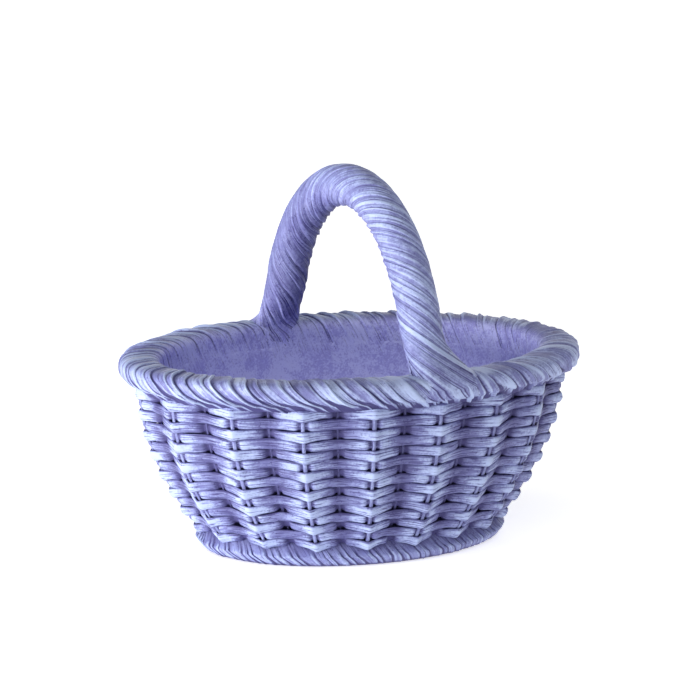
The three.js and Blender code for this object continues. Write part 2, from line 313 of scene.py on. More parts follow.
def smooth(low, high, value):
    """A soft step from 0 at low to 1 at high."""
    share = np.clip((value - low) / (high - low), 0, 1)
    return share * share * (3 - 2 * share)


def uneven(along, across, cells):
    """Soft random values between -1 and 1 over shares along, where they close up, and across."""
    along, across = np.broadcast_arrays(along, across)
    knots = chance.uniform(-1, 1, (cells[0], cells[1] + 1))
    place = along * cells[0]
    column = np.floor(place).astype(int)
    blend = smooth(0, 1, place - column)
    level = np.clip(across, 0, 0.999999) * cells[1]
    row = np.floor(level).astype(int)
    lift = smooth(0, 1, level - row)
    this, following = column % cells[0], (column + 1) % cells[0]
    low = knots[this, row] * (1 - blend) + knots[following, row] * blend
    high = knots[this, row + 1] * (1 - blend) + knots[following, row + 1] * blend
    return low * (1 - lift) + high * lift


print("a soft step from 0 to 1 at its quarters:", smooth(0, 1, np.array([0.25, 0.5, 0.75])))

# %% [markdown]
# ## Shader maths in plain Python
# A material is a small network of nodes. Wiring them by hand is hard to read, so one class wraps a socket
# and lets Python's own operators add the Math nodes. Any other node comes from one method, which first
# sets the node's settings and then its sockets.

# %% A socket that can be calculated with
class Shade:
    """A socket of a material's node tree, for use in expressions."""

    def __init__(self, tree, socket=None):
        self.tree = tree
        self.socket = socket

    def node(self, kind, settings=None, sockets=None, output=0):
        """An output of a new node, after its settings and its sockets are set or linked."""
        made = self.tree.nodes.new("ShaderNode" + kind)
        for name, value in (settings or {}).items():
            setattr(made, name, value)
        for name, value in (sockets or {}).items():
            if isinstance(value, Shade):
                self.tree.links.new(value.socket, made.inputs[name])
            else:
                made.inputs[name].default_value = value
        return Shade(self.tree, made.outputs[output])

    def math(self, operation, first, second):
        """A Math node on two values."""
        return self.node("Math", {"operation": operation}, {0: first, 1: second})

    def __add__(self, other):
        return self.math("ADD", self, other)

    def __sub__(self, other):
        return self.math("SUBTRACT", self, other)

    def __rsub__(self, other):
        return self.math("SUBTRACT", other, self)

    def __mul__(self, other):
        return self.math("MULTIPLY", self, other)

    __radd__ = __add__
    __rmul__ = __mul__

    def step(self, low, high):
        """A soft step from 0 at low to 1 at high."""
        sockets = {"Value": self, "From Min": low, "From Max": high}
        return self.node("MapRange", {"interpolation_type": "SMOOTHSTEP"}, sockets)

    def mix(self, low, high):
        """The colour low where this mask is 0, and high where it is 1."""
        sockets = {0: self, 6: low, 7: high}
        return self.node("Mix", {"data_type": "RGBA"}, sockets, output=2)

    def noise(self, stretch, scale, detail):
        """Fractal noise from 0 to 1 over these coordinates, stretched along each axis."""
        placed = self.node("VectorMath", {"operation": "MULTIPLY"}, {0: self, 1: stretch})
        return self.node("TexNoise", {}, {"Vector": placed, "Scale": scale, "Detail": detail})


print("shader helpers:", [name for name in vars(Shade) if not name.startswith("_")])

# %% [markdown]
# ## The paint
# The resin was painted with a lavender coat and a nearly dry pale brush that touched only the edges and
# the crests. A dark violet is painted into every crease, dive and valley and under the ropes as painted
# shade, and also makes dark specks and grain. A painted picture would need unwrapped faces. Masks on the
# points follow the shape by themselves: they say where the painted shade and the brush reach, and noise
# breaks them up as bristles do. Inside the bowl the coat is more violet, in soft patches, and painted
# lighter as painted light where less light reaches; the brush touched it only faintly.

# %% Paint finishes
COAT = (0.18, 0.19, 0.425, 1)
LIGHT_COAT = (0.245, 0.27, 0.53, 1)
# The dark violet is painted shade in creases and hollows, and also the colour of dark specks and grain.
DARK_VIOLET = (0.06, 0.054, 0.175, 1)
PALE = (0.43, 0.51, 0.77, 1)
# Inside the bowl the coat is more violet, and painted lighter as painted light, where less light reaches.
INSIDE = (0.375, 0.37, 0.79, 1)
PALE_INSIDE = (0.57, 0.59, 0.97, 1)
CLOUD_SCALE, MOTTLE_SCALE, SPECKLE_SCALE = 50, 230, 800
STREAK_STRETCH = (90, 1500, 1000)  # coarse along a strand, fine across it
BUMP_STRENGTH, BUMP_HEIGHT = 0.5, 0.8 * MM
SHINE = 0.3


def painted(name, fibre):
    """A painted resin finish with streaks of a strength."""
    material = bpy.data.materials.new(name)
    material.use_nodes = True
    tree = material.node_tree
    shader = tree.nodes["Principled BSDF"]
    start = Shade(tree)
    masks = {mask: start.node("Attribute", {"attribute_name": mask}, output=2) for mask in PAINT_MASKS}
    lay = start.node("Attribute", {"attribute_name": "lay"}, output=1)
    place = start.node("TexCoord", output=3)
    cloud = place.noise((1, 1, 1), CLOUD_SCALE, 3)
    mottle = place.noise((1, 1, 1), MOTTLE_SCALE, 3)
    speckle = place.noise((1, 1, 1), SPECKLE_SCALE, 2)
    streak = lay.noise(STREAK_STRETCH, 1, 3)
    # The coat is uneven in soft clouds, and in smaller patches inside the bowl, where it is painted lighter
    # as painted light.
    colour = (0.5 * cloud + 0.5 * mottle).step(0.4, 0.6).mix(COAT, LIGHT_COAT)
    patches = (0.35 * cloud + 0.25 * mottle + 0.4 * speckle).step(0.44, 0.57)
    colour = masks["inside"].mix(colour, patches.mix(INSIDE, PALE_INSIDE))
    # The dark violet lies where its mask says, as painted shade, and in the hollows of the streaks and in
    # small specks as grain.
    spots = (0.35 - 0.25 * masks["inside"]) * speckle.step(0.4, 0.3)
    darkening = masks["wash"] + fibre * streak.step(0.45, 0.36) + spots
    colour = darkening.step(0.08, 0.95).mix(colour, DARK_VIOLET)
    # The brush catches where its mask and the noise of its bristles add up to enough.
    bristles = 1.1 * streak + 0.5 * mottle + 0.7 * speckle
    caught = masks["brush"] - 0.7 * masks["wash"] + bristles
    colour = caught.step(1.25, 2.05).mix(colour, masks["inside"].mix(PALE, PALE_INSIDE))
    rough = 0.52 + 0.18 * masks["wash"] - 0.08 * masks["brush"]
    height = fibre * streak + 0.4 * speckle + 0.4 * mottle
    bump = start.node("Bump", {}, {"Strength": BUMP_STRENGTH, "Distance": BUMP_HEIGHT, "Height": height})
    for socket, value in {"Base Color": colour, "Roughness": rough, "Normal": bump}.items():
        tree.links.new(value.socket, shader.inputs[socket])
    shader.inputs["Specular IOR Level"].default_value = SHINE
    return material


finishes = {
    "bowl": painted("bowl_paint", 0.2),
    "foot": painted("foot_paint", 0.4),
    "rim": painted("rim_paint", 0.4),
    "handle": painted("handle_paint", 0.4),
    "weave": painted("weave_paint", 0.45),
    "ridge_stakes": painted("ridge_post_paint", 0.3),
    "valley_stakes": painted("valley_post_paint", 0.3),
}
print("finishes:", sorted(finishes))

# %% [markdown]
# ## The woven strips
# Each strip goes once round the wall. The wall is folded like a paper fan, and the strip follows the
# folds: an odd strip rides over the ridge posts and dives behind the valley posts, an even strip does the
# opposite. The dive happens in the last few millimetres beside a post, which leaves the dark pockets of
# the weave. A bevelled curve could follow the same path, but the grid also lets a strip swell, wave and
# carry its own fibres.

# %% Depth of a strip in the folds
RIDGE_DEPTH, VALLEY_DEPTH = 2.4 * MM, 8.0 * MM  # a strip's middle where it just lies on the fold
OVER_RIDGE, UNDER_RIDGE = 1.1 * MM, 4.1 * MM
OVER_VALLEY, UNDER_VALLEY = 7.1 * MM, 9.9 * MM
DIVE_START, DIVE_END = 0.21, 0.13  # shares of the way from a post to the next
RIDGE_REACH, VALLEY_REACH = 0.2, 0.3  # how far beside a post a strip lifts that rides over it
SOFT_BEND = 0.6  # how soft the folds are, from 0 for sharp to 1


def strip_depth(fold, odd, folding):
    """Depth of a strip's middle at places in the folds, and shares to which it dives or rides over."""
    from_ridge = np.abs((fold + 1) % 2 - 1)
    from_valley = 1 - from_ridge
    bent = (1 - SOFT_BEND) * from_ridge + SOFT_BEND * smooth(0, 1, from_ridge)
    lying = RIDGE_DEPTH + (VALLEY_DEPTH - RIDGE_DEPTH) * bent * folding
    if odd:
        dive = smooth(DIVE_START, DIVE_END, from_valley)
        over = np.exp(-((from_ridge / RIDGE_REACH) ** 2))
        return lying + (OVER_RIDGE - RIDGE_DEPTH) * over + (UNDER_VALLEY - VALLEY_DEPTH) * dive, dive, over
    dive = smooth(DIVE_START, DIVE_END, from_ridge)
    over = np.exp(-((from_valley / VALLEY_REACH) ** 2))
    return lying + (OVER_VALLEY - VALLEY_DEPTH) * over + (UNDER_RIDGE - RIDGE_DEPTH) * dive, dive, over


odd_depths = strip_depth(np.array([0.0, 1.0]), True, 1.0)[0]
print("an odd strip lies", (1000 * odd_depths).round(1), "mm deep on a ridge and in a valley")

# %% Shape of a strip
STEPS_PER_FOLD = 14
FACE_POINTS = 25
CROWDING = 0.63  # stations crowd towards the posts, where the strip turns
FIBRES, FIBRE_DEPTH = 5, 0.25 * MM
FIBRE_WIDTH, FIBRE_DRIFT = 0.085, 0.16  # shares of a strip's half width
BACK_PLACES = [0.7, 0, -0.7]  # three points are enough for the hidden back
EDGE_WAVE, TILT = 0.45 * MM, 0.25 * MM
PINCH, SWELL = 0.05, 0.09  # a strip narrows by a share where it dives, and widens where it rides over
WIDTH_CHANGE = 0.07
STRIP_SHIFT = 0.37  # sets the grain of one strip apart from the next
FOOT_CALM, FOLD_RISE = 0.4, 25 * MM  # the folds are shallower by a share at the foot, up to this height
SIDE_LIGHT_PAINT = 0.14  # painted light and shade: the end at -X, facing the key lamp, is paler, the end at +X darker

course_top = min(wall_top, level_height(0.0, wall_top, BOWL_OUTSIDE))
share_in_fold = np.arange(STEPS_PER_FOLD) / STEPS_PER_FOLD
share_in_fold = share_in_fold - CROWDING / (2 * np.pi) * np.sin(2 * np.pi * share_in_fold)
folds = (np.arange(FOLDS)[:, None] + share_in_fold).ravel()[:, None]
fold_angles = oval_angles(middle_length, middle_width, FIRST_RIDGE + folds / FOLDS)
from_ridge = np.abs((folds + 1) % 2 - 1)
face = np.linspace(-1, 1, FACE_POINTS)
section_across = np.concatenate([face, BACK_PLACES])[None, :]
section_back = np.concatenate([np.zeros(FACE_POINTS), np.ones(len(BACK_PLACES))])[None, :]


def course_edge(number):
    """Height of the seam above a course."""
    share = number / COURSES
    return wall_bottom + (course_top - wall_bottom) * (share - COURSE_TAPER * share * (1 - share))


def fibres(way, across):
    """Grooves between the fibres of a strip, from 0 to 1: thin lines that drift, start and end."""
    depth = 0
    for fibre in range(FIBRES):
        middle = (fibre + 0.5) / FIBRES * 2 - 1 + FIBRE_DRIFT * uneven(way, 0, (FOLDS, 1))
        shown = smooth(-0.35, 0.25, uneven(way, 0, (FOLDS * 3, 1)))
        depth = np.maximum(depth, shown * np.exp(-(((across - middle) / FIBRE_WIDTH) ** 2)))
    return depth


def weave_strip(number):
    """One strip round the wall, counted from the foot up."""
    low, high = course_edge(number - 1), course_edge(number)
    folding = 1 - FOOT_CALM * smooth(FOLD_RISE, 0, low - wall_bottom)
    depth, dive, over = strip_depth(folds, number % 2 == 1, folding)
    way = folds / FOLDS
    middle = (low + high) / 2 + EDGE_WAVE * uneven(way, 0, (FOLDS * 2, 1))
    swell = 1 - PINCH * dive + SWELL * over + WIDTH_CHANGE * uneven(way, 0, (FOLDS * 3, 1))
    height = middle + (high - low) / 2 * swell * section_across
    groove = fibres(way, section_across)
    tilt = TILT * uneven(way, (section_across + 1) / 2, (FOLDS * 3, 2))
    edge = np.abs(section_across)
    bulge = 1 - edge**2 - 0.5 * edge**8
    front = -STRIP_THICKNESS / 2 * bulge + FIBRE_DEPTH * groove * (1 - edge**8) + tilt
    offset = np.where(section_back > 0, STRIP_THICKNESS / 2, front)
    points = wall_point(fold_angles, height, depth + offset)
    valley_side = smooth(0.25, 1.0, from_ridge)
    tone = uneven(way, 0, (FOLDS * 2, 1))
    # Painted shade darkens the strip where it dives, along its edges, in its grooves, in the valleys and on
    # its hidden back, with a little random tone.
    wash = 0.6 * dive + 0.4 * edge**7 + 0.4 * groove + 0.5 * valley_side - 0.1 * tone + section_back
    # The brush caught the ridges, most of all where the strip rides over a post.
    brush = 0.58 - 0.45 * valley_side + 0.28 * over * (1 - from_ridge) + 0.2 * tone
    # Painted light and shade: paler towards the end at -X, which faces the key lamp, darker towards +X.
    brush = brush - SIDE_LIGHT_PAINT * np.cos(fold_angles)
    brush = np.clip(brush, 0, 1) * (1 - dive) * (1 - 0.7 * groove) * (1 - edge**6)
    length = 2 * np.pi * middle_length * way
    lay = np.stack(np.broadcast_arrays(length, height, number * STRIP_SHIFT), axis=-1)
    masks = (np.clip(wash, 0, 1), brush, 0.0)
    return dress(f"strip_{number:02d}", points, True, masks, lay, "weave", [f"weave_course_{number:02d}"])


strips = [weave_strip(number) for number in range(1, COURSES + 1)]
print("strips:", len(strips), "with", len(strips[0].data.polygons), "faces each")

# %% [markdown]
# ## The posts
# Thin posts stand on the ridges and in the valleys. They show only between the strips that cross them,
# bright on the ridges where the brush caught them, painted dark as shade in the valleys. A plain cylinder
# would miss the wall's belly, so each post is a row of rounded sections that follow the wall.

# %% Posts
POST_STEPS = 60
POST_SIDES = 14
POST_THICKNESS = 2.0 * MM
RIDGE_POST_WIDTH, VALLEY_POST_WIDTH = 2.5 * MM, 2.1 * MM
RIDGE_POST_DEPTH, VALLEY_POST_DEPTH = 3.55 * MM, 9.55 * MM
RIDGE_POST_PAINT, VALLEY_POST_PAINT = (0.4, 0.1), (0.1, 0.7)  # brush and painted shade
POST_ROUNDING = 2.5
POST_UNEVEN = 0.14
POST_SHIFT = 0.21  # sets the grain of one post apart from the next


def post(name, node, fold, depth, width, slot, paint):
    """A post on a fold, from the foot to the rim."""
    brushed, washed = paint
    angle = oval_angles(middle_length, middle_width, np.array([FIRST_RIDGE + fold / FOLDS]))[0]
    way = np.linspace(0, 1, POST_STEPS)[:, None]
    level = wall_bottom + (wall_top - wall_bottom) * way
    around = -2 * np.pi * np.arange(POST_SIDES) / POST_SIDES
    across = rounded(np.cos(around), POST_ROUNDING)
    deep = rounded(np.sin(around), POST_ROUNDING)
    half_width = width / 2 * (1 + POST_UNEVEN * uneven(way * 0.5, 0, (24, 1)))
    length, breadth = wall_oval(level)[:2]
    turn = half_width / np.hypot(length * np.sin(angle), breadth * np.cos(angle))
    points = level_point(angle + turn * across, level, depth + POST_THICKNESS / 2 * deep)
    front = smooth(0.4, -0.9, deep)[None, :]
    brush = brushed * front * (0.7 + 0.3 * uneven(way * 0.5, 0, (30, 1)))
    # Painted shade on the post's back and sides, where it passes behind the strips.
    wash = np.clip(washed + 1 - front, 0, 1)
    lay = np.stack(np.broadcast_arrays(level, across[None, :] * width / 2, fold * POST_SHIFT), axis=-1)
    return dress(name, points, False, (wash, brush, 0.0), lay, slot, [node])


for pair in range(FOLDS // 2):
    number = f"{pair + 1:02d}"
    post(f"ridge_post_{number}", f"ridge_stake_{number}", 2 * pair,
         RIDGE_POST_DEPTH, RIDGE_POST_WIDTH, "ridge_stakes", RIDGE_POST_PAINT)
    post(f"valley_post_{number}", f"valley_stake_{number}", 2 * pair + 1,
         VALLEY_POST_DEPTH, VALLEY_POST_WIDTH, "valley_stakes", VALLEY_POST_PAINT)
print("posts:", FOLDS)

# %% [markdown]
# ## Rope strands
# The rim, the foot and the handle are ropes. Each rope's grid runs along its strands, with several lines
# to a strand, so that every crease and lip lies on a grid line and stays crisp. Across a strand the
# height climbs to a lip and drops into the crease beside the next strand. Each grid line also stands a
# little higher or lower than its neighbours, as the fibres of a cord do. Tubes wound side by side would
# leave gaps that a casting doesn't have.

# %% Strands across a rope
STRAND_VARIETY = 0.45
SWINGS_PER_STRAND = 0.38  # how often the strands' widths go up and down
STRAND_SHIFT = 0.13  # sets the grain of one strand apart from the next


def strand_lines(count, places):
    """Phase, place across and strand number of the grid lines that follow the strands of a rope."""
    swings = 2 * round(SWINGS_PER_STRAND / 2 * count)
    widths = 1 + STRAND_VARIETY * np.cos(2 * np.pi * swings * np.arange(count) / count)
    edges = travelled(widths) * count / widths.sum()
    number = np.repeat(np.arange(count), len(places))
    place = np.tile(places, count)
    return edges[number] + place * (edges[number + 1] - edges[number]), place, number


def ramp(place, start, lip, power):
    """Height across a strand: 0 up to its start, 1 at its lip, and 0 again at its end."""
    climb = np.clip((place - start) / (lip - start), 0, 1)
    drop = np.clip((1 - place) / (1 - lip), 0, 1)
    return np.minimum(climb**power, drop)


def line(place, middle, width):
    """A soft line along a strand, 1 at its middle."""
    return np.exp(-(((place - middle) / width) ** 2))


def strand_lay(along, across, number):
    """Places along and across the strands of a rope, for the grain."""
    return np.stack(np.broadcast_arrays(along, across, number * STRAND_SHIFT), axis=-1)


print("widest to narrowest strand:", round((1 + STRAND_VARIETY) / (1 - STRAND_VARIETY), 1))

# %% [markdown]
# ## The rim
# The rim is a thick rope with some eighty strands. They climb the inner face, cross the crown and slant
# down the outer face, until they end in points at the wall. Near the handle's feet they run steeper, as
# there the strands of the handle join in. The section is a squarish oval, except that its inner side
# comes straight down and runs out on the bowl's wall, so that no edge shows there. A few rows inside that
# wall lead the slanted grid back to where it began.

# %% Section of the rim
ARC_POINTS, STRAIGHT_POINTS, RUN_OUT_POINTS, HIDDEN_POINTS = 66, 7, 10, 8
ARC_START, ARC_END = -120, 180  # degrees round the section, from under the rim to its inner edge
ARC_FINE = 3001
SQUARENESS = 2.6
SECTION_ASPECT = 1.45  # width of the section to its height
RUN_OUT = 14 * MM  # how far the rim's inner face runs down the bowl's wall
QUARTER = 17 * MM  # way over a quarter of the section
WALL_CORE = 2.5 * MM  # inside the bowl's wall, where the rim's grid closes out of sight
RIM_FILL = 4 * MM  # resin that fills the corner between the rim's underside and the strips

rim_middle = (rim_low.z + rim_high.z) / 2
rim_half_height = (rim_high.z - rim_low.z) / 2


def even_arc(start, end, points):
    """Turns of evenly spaced points round the rim's section, and their quarters from the inner edge."""
    turn = np.radians(np.linspace(start, end, ARC_FINE))
    across = SECTION_ASPECT * rounded(np.cos(turn), SQUARENESS)
    up = rounded(np.sin(turn), SQUARENESS)
    way = travelled(np.hypot(np.diff(across), np.diff(up)))
    quarter = way[-1] - np.interp(np.pi / 2, turn, way)
    steps = np.linspace(0, way[-1], points)
    return np.interp(steps, way, turn), (way[-1] - steps) / quarter


section_turn, arc_quarters = even_arc(ARC_START, ARC_END, ARC_POINTS)
straight = np.linspace(0, wall_top - rim_middle, STRAIGHT_POINTS + 1)[1:]
run_out = np.linspace(0, -RUN_OUT, RUN_OUT_POINTS + 1)[1:]
arc_x = rounded(np.cos(section_turn), SQUARENESS)
arc_z = rounded(np.sin(section_turn), SQUARENESS)
arc_z = arc_z - RIM_FILL / rim_half_height * smooth(0.6, 0.1, arc_x) * smooth(-0.4, -0.9, arc_z)
section_x = np.concatenate([arc_x, np.full(len(straight), -1.0)])
section_z = np.concatenate([arc_z, straight / rim_half_height])
quarters = np.concatenate([arc_quarters, straight / QUARTER, (straight[-1] + run_out) / QUARTER])
hidden = np.linspace(quarters[-1], quarters[0], HIDDEN_POINTS + 2)[1:-1]
quarters = np.concatenate([quarters, hidden])[None, :]
fallen = np.where(arc_quarters > 1, (1 - arc_z) / 2, 0)  # share of the rim's height, on its outer side
led_back = np.linspace(0, fallen[0], HIDDEN_POINTS + 2)[1:-1]
fallen = np.concatenate([fallen, np.zeros(STRAIGHT_POINTS + RUN_OUT_POINTS), led_back])
print("points of the rim's section:", quarters.size)

# %% Lay of the rim's strands
RIM_STRANDS = 84
RIM_PLACES = np.array([0, 0.05, 0.12, 0.2, 0.29, 0.38, 0.47, 0.56, 0.65, 0.73, 0.8, 0.86, 0.91, 0.96])
INNER_LAY = 10.5 * MM  # a strand moves along the rim by this much on the inner quarter of the section
CROWN_LAY = 4 * MM  # on each quarter past the crown
OUTER_LAY = 15 * MM  # and on its way down the outer side
STEEPER, LEG_REACH = 0.35, 40 * MM  # how much steeper the strands are near a leg, and how far that reaches
RIM_WANDER = 0.36  # strands stray from their lay by this share of their width

rim_length = oval_length(rim_high.x, rim_high.y)
phase, place, number = strand_lines(RIM_STRANDS, RIM_PLACES)
phase, place, number = phase[:, None], place[:, None], number[:, None]
from_leg = ((phase / RIM_STRANDS) % 0.5 - 0.25) * rim_length
steep = 1 - STEEPER * np.exp(-((from_leg / LEG_REACH) ** 2))
rim_shift = INNER_LAY * np.minimum(quarters, 1) + CROWN_LAY * np.maximum(quarters - 1, 0)
rim_shift = steep * (rim_shift + OUTER_LAY * fallen)
outside = smooth(1.0, 2.4, quarters)
wander = RIM_WANDER * (0.3 + 0.7 * outside) * uneven(phase / RIM_STRANDS, quarters / 4, (60, 4))
rim_shares = (phase + wander) / RIM_STRANDS + rim_shift / rim_length
rim_angles = oval_angles(rim_high.x, rim_high.y, rim_shares)
print("strands about", round(1000 * rim_length / RIM_STRANDS, 1), "mm apart")

# %% Form of the rim
RUN_OUT_LIFT, RUN_OUT_SINK = 0.1 * MM, 0.5 * MM  # it starts proud of the bowl's wall and sinks into it
on_rope = len(section_x)
rope_angles = rim_angles[:, :on_rope]
rim_outer = np.stack([rim_high.x * np.cos(rope_angles), rim_high.y * np.sin(rope_angles)], axis=-1)
rim_inner = level_point(rope_angles, wall_top, BOWL_INSIDE)[..., :2]
plan = (rim_outer + rim_inner) / 2 + (rim_outer - rim_inner) / 2 * section_x[None, :, None]
levels = np.broadcast_to(rim_middle + rim_half_height * section_z, rope_angles.shape)
drops = np.concatenate([run_out, np.full(HIDDEN_POINTS, -RUN_OUT)])
sinking = RUN_OUT_SINK * (run_out / RUN_OUT) ** 2 - RUN_OUT_LIFT
in_wall = np.concatenate([sinking, np.full(HIDDEN_POINTS, WALL_CORE)])
on_wall = level_point(rim_angles[:, on_rope:], wall_top + drops, BOWL_INSIDE - in_wall)
rim_form = np.concatenate([np.concatenate([plan, levels[..., None]], axis=-1), on_wall], axis=1)
print("rim grid:", rim_form.shape[:2])

# %% Strands of the rim
RIM_RELIEF, RIM_FIBRE = 1.8 * MM, 0.24 * MM
THREADS = 5  # to a strand
RIM_LIP, RIM_SPLIT = 0.87, 0.45  # places across a strand
RIM_LEVEL = 0.85  # a strand of this height lies on the rim's form
NARROWING = 0.55  # share of a strand's width that is gone at its tip
heights = chance.uniform(0.45, 1.2, RIM_STRANDS)[number]
tones = chance.uniform(0, 1, RIM_STRANDS)[number]
tips = chance.uniform(2.35, 2.75, RIM_STRANDS)[number]  # quarters of the section at which the strands end
thread = uneven((number + place) / RIM_STRANDS, quarters / 4, (RIM_STRANDS * THREADS, 4))
fibre = 0.5 * chance.uniform(-1, 1, phase.shape) + thread
start = NARROWING * smooth(tips - 0.6, tips + 0.15, quarters)
split = line(place, RIM_SPLIT, 0.05) * chance.uniform(0, 1, RIM_STRANDS)[number]
relief = (heights * ramp(place, start, RIM_LIP, 0.75) - 0.2 * split) * smooth(tips + 0.4, tips, quarters)
climb = smooth(-0.8, 0.3, quarters)  # strands rise from the bowl's wall up the inner face
fade = climb * (0.6 + 0.4 * smooth(0.2, 1.2, quarters))
reach = smooth(-1.25, -0.2, quarters)  # fine lines reach further down than the strands
push = fade * RIM_RELIEF * (relief - RIM_LEVEL) + reach * RIM_FIBRE * fibre
rim_points = rim_form + outward(rim_form, True) * push[..., None]
print("relief of the rim's strands:", round(1000 * float(np.ptp(push)), 1), "mm")

# %% The rim's mesh
INSIDE_BRUSH = 0.25
RIM_END_SHADE = 0.28  # painted shade: the brush is taken off the rim's ends, so they are darker
RIM_STRAND_WIDTH = 9 * MM
underneath = smooth(2.6, 3.0, quarters)
inside = smooth(0.7, 0.1, quarters)
crease = line(place, 0, 0.08) + line(place, 1, 0.06)
gap = smooth(start + 0.05, start - 0.1, place) * smooth(0.05, 0.3, start)  # beside a strand's narrowed tip
# Painted shade darkens the creases, splits, the gaps between the tips and the underside.
wash = climb * (0.8 * crease + 0.4 * split) * (0.7 + 0.3 * outside) + gap + 0.8 * underneath
patch = uneven(number / RIM_STRANDS, quarters / 4, (RIM_STRANDS, 7))
wash = wash - 0.22 * fibre * reach + (0.5 * (0.5 - tones) - 0.2 * patch) * outside
# The brush caught the lips of the strands and single threads, and only faintly the run-out inside. The
# rim's ends get less of it, as painted shade.
lip = line(place, RIM_LIP, 0.06) + 0.5 * line(place, 0.36, 0.05)
brush = 0.21 + 0.45 * tones + 0.15 * place + 0.3 * patch + 0.35 * fibre
brush = brush + 0.7 * lip * (1 - 0.5 * inside) - RIM_END_SHADE * np.abs(np.cos(rim_angles))
faint = INSIDE_BRUSH + reach * (0.6 * lip + 0.5 * fibre)
brush = (climb * brush * (1 - 0.5 * inside) + (1 - climb) * faint) * (1 - underneath)
lay = strand_lay(quarters * QUARTER, place * RIM_STRAND_WIDTH, number)
masks = (np.clip(wash, 0, 1), np.clip(brush, 0, 1), inside)
rim = dress("rope_rim", rim_points, True, masks, lay, "rim", ["rim_border"])
print("rim faces:", len(rim.data.polygons))

# %% [markdown]
# ## The foot
# The foot is the same rope, thinner and with finer strands. It stands on the floor, so its underside is
# flat. It widens upwards to meet the strips, and behind it the casting fills the corner up to the wall.

# %% Form of the foot
FOOT_POINTS = 32
FOOT_STRANDS = 96
FOOT_PLACES = np.array([0, 0.08, 0.2, 0.35, 0.5, 0.64, 0.76, 0.86, 0.94])
FOOT_LAY = 0.8  # a strand moves along the foot by this much for each millimetre of height
FOOT_WANDER = 0.35
FOOT_ROUNDING = 2.2
FOOT_FILL = 7 * MM  # resin that fills the corner between the foot and the wall
FOOT_FLARE = 3.5 * MM  # the foot widens upwards, to meet the strips
foot_middle = (foot_low.z + foot_high.z) / 2
foot_half_height = (foot_high.z - foot_low.z) / 2
phase, place, number = strand_lines(FOOT_STRANDS, FOOT_PLACES)
phase, place, number = phase[:, None], place[:, None], number[:, None]
over = np.arange(FOOT_POINTS)[None, :] / FOOT_POINTS
foot_x = rounded(np.cos(np.pi + 2 * np.pi * over), FOOT_ROUNDING)
foot_z = rounded(np.sin(np.pi + 2 * np.pi * over), FOOT_ROUNDING)
fill = FOOT_FILL * smooth(0.8, 0.0, foot_x) * smooth(0.2, 0.9, foot_z)
levels = foot_middle + foot_half_height * foot_z + fill
wider = FOOT_FLARE * smooth(-0.7, 0.7, foot_z)
wander = FOOT_WANDER * uneven(phase / FOOT_STRANDS, over, (60, 3))
foot_shares = (phase + wander) / FOOT_STRANDS - FOOT_LAY * levels / oval_length(foot_high.x, foot_high.y)
foot_angles = oval_angles(foot_high.x, foot_high.y, foot_shares)
foot_x_out = (foot_high.x + wider) * np.cos(foot_angles)
foot_y_out = (foot_high.y + wider) * np.sin(foot_angles)
foot_outer = np.stack([foot_x_out, foot_y_out], axis=-1)
foot_inner = level_point(foot_angles, wall_bottom, BOWL_OUTSIDE)[..., :2]
plan = (foot_outer + foot_inner) / 2 + (foot_outer - foot_inner) / 2 * foot_x[..., None]
foot_form = np.concatenate([plan, np.broadcast_to(levels, foot_angles.shape)[..., None]], axis=-1)
print("foot grid:", foot_form.shape[:2])

# %% The foot's mesh
FOOT_RELIEF, FOOT_FIBRE = 1.0 * MM, 0.1 * MM
FOOT_LIP = 0.78
FOOT_LEVEL = 0.9  # a strand of this height lies on the foot's form
GROUND_EASE = 0.5 * MM  # the relief starts above the floor
FOOT_AROUND, FOOT_STRAND_WIDTH = 30 * MM, 6 * MM  # lengths that the grain takes for the foot
heights = chance.uniform(0.6, 1.1, FOOT_STRANDS)[number]
tones = chance.uniform(0.1, 1.0, FOOT_STRANDS)[number]
fibre = chance.uniform(-1, 1, phase.shape)
corner = smooth(0.85, 0.4, foot_x) * smooth(0.3, 0.8, foot_z)
relief = heights * ramp(place, 0, FOOT_LIP, 0.7)
push = FOOT_RELIEF * (relief - FOOT_LEVEL) * (1 - corner) + FOOT_FIBRE * fibre
push = push * smooth(0, GROUND_EASE, foot_form[..., 2])
foot_points = foot_form + outward(foot_form, True) * push[..., None]
foot_points[..., 2] = np.maximum(foot_points[..., 2], 0)
crease = line(place, 0, 0.1) + line(place, 1, 0.1)
# Painted shade darkens the creases between strands, the filled corner behind the foot and its lower side.
wash = 0.05 + 0.85 * crease * (1 - corner) + 0.5 * corner + 0.7 * smooth(-0.3, -0.9, foot_z) - 0.15 * fibre
brush = 0.1 + 0.3 * tones + 0.4 * line(place, FOOT_LIP, 0.12) + 0.15 * fibre - 0.7 * corner
lay = strand_lay(over * FOOT_AROUND, place * FOOT_STRAND_WIDTH, number)
masks = (np.clip(wash, 0, 1), np.clip(brush, 0, 1), 0.0)
foot = dress("rope_foot", foot_points, True, masks, lay, "foot", ["foot_border"])
print("foot faces:", len(foot.data.polygons))

# %% [markdown]
# ## The bowl
# The bowl is smooth inside, with the slight lumps of a casting, and its wall runs up behind the rim. A
# rounded corner leads to the floor. One grid of loops makes it all: from the middle of the underside up
# the outer face, over the top, and down the inner face to the middle of the floor.

# %% Loops of the bowl
BOWL_STATIONS = 480
OUTER_ROWS, INNER_ROWS, CORNER_ROWS = 14, 40, 8
PLINTH_EDGE = 1.2 * MM
BOWL_FLOOR = 6 * MM
FLOOR_ROUND = 9 * MM
BEHIND_RIM = 0.984  # the wall's top is drawn out by so much to hide behind the rim
TOP_LEVELS = 6 * MM, 2 * MM  # heights of its two loops there
FLOOR_INSET = 0.9  # the corner's reach inwards, as a share of its height
bowl_shares = np.arange(BOWL_STATIONS) / BOWL_STATIONS
bowl_angles = oval_angles(rim_high.x, rim_high.y, bowl_shares)


def bowl_loop(level, depth):
    """A loop of the bowl's wall on a level, at a depth in the wall."""
    return level_point(bowl_angles, np.full(BOWL_STATIONS, level), np.full(BOWL_STATIONS, depth))


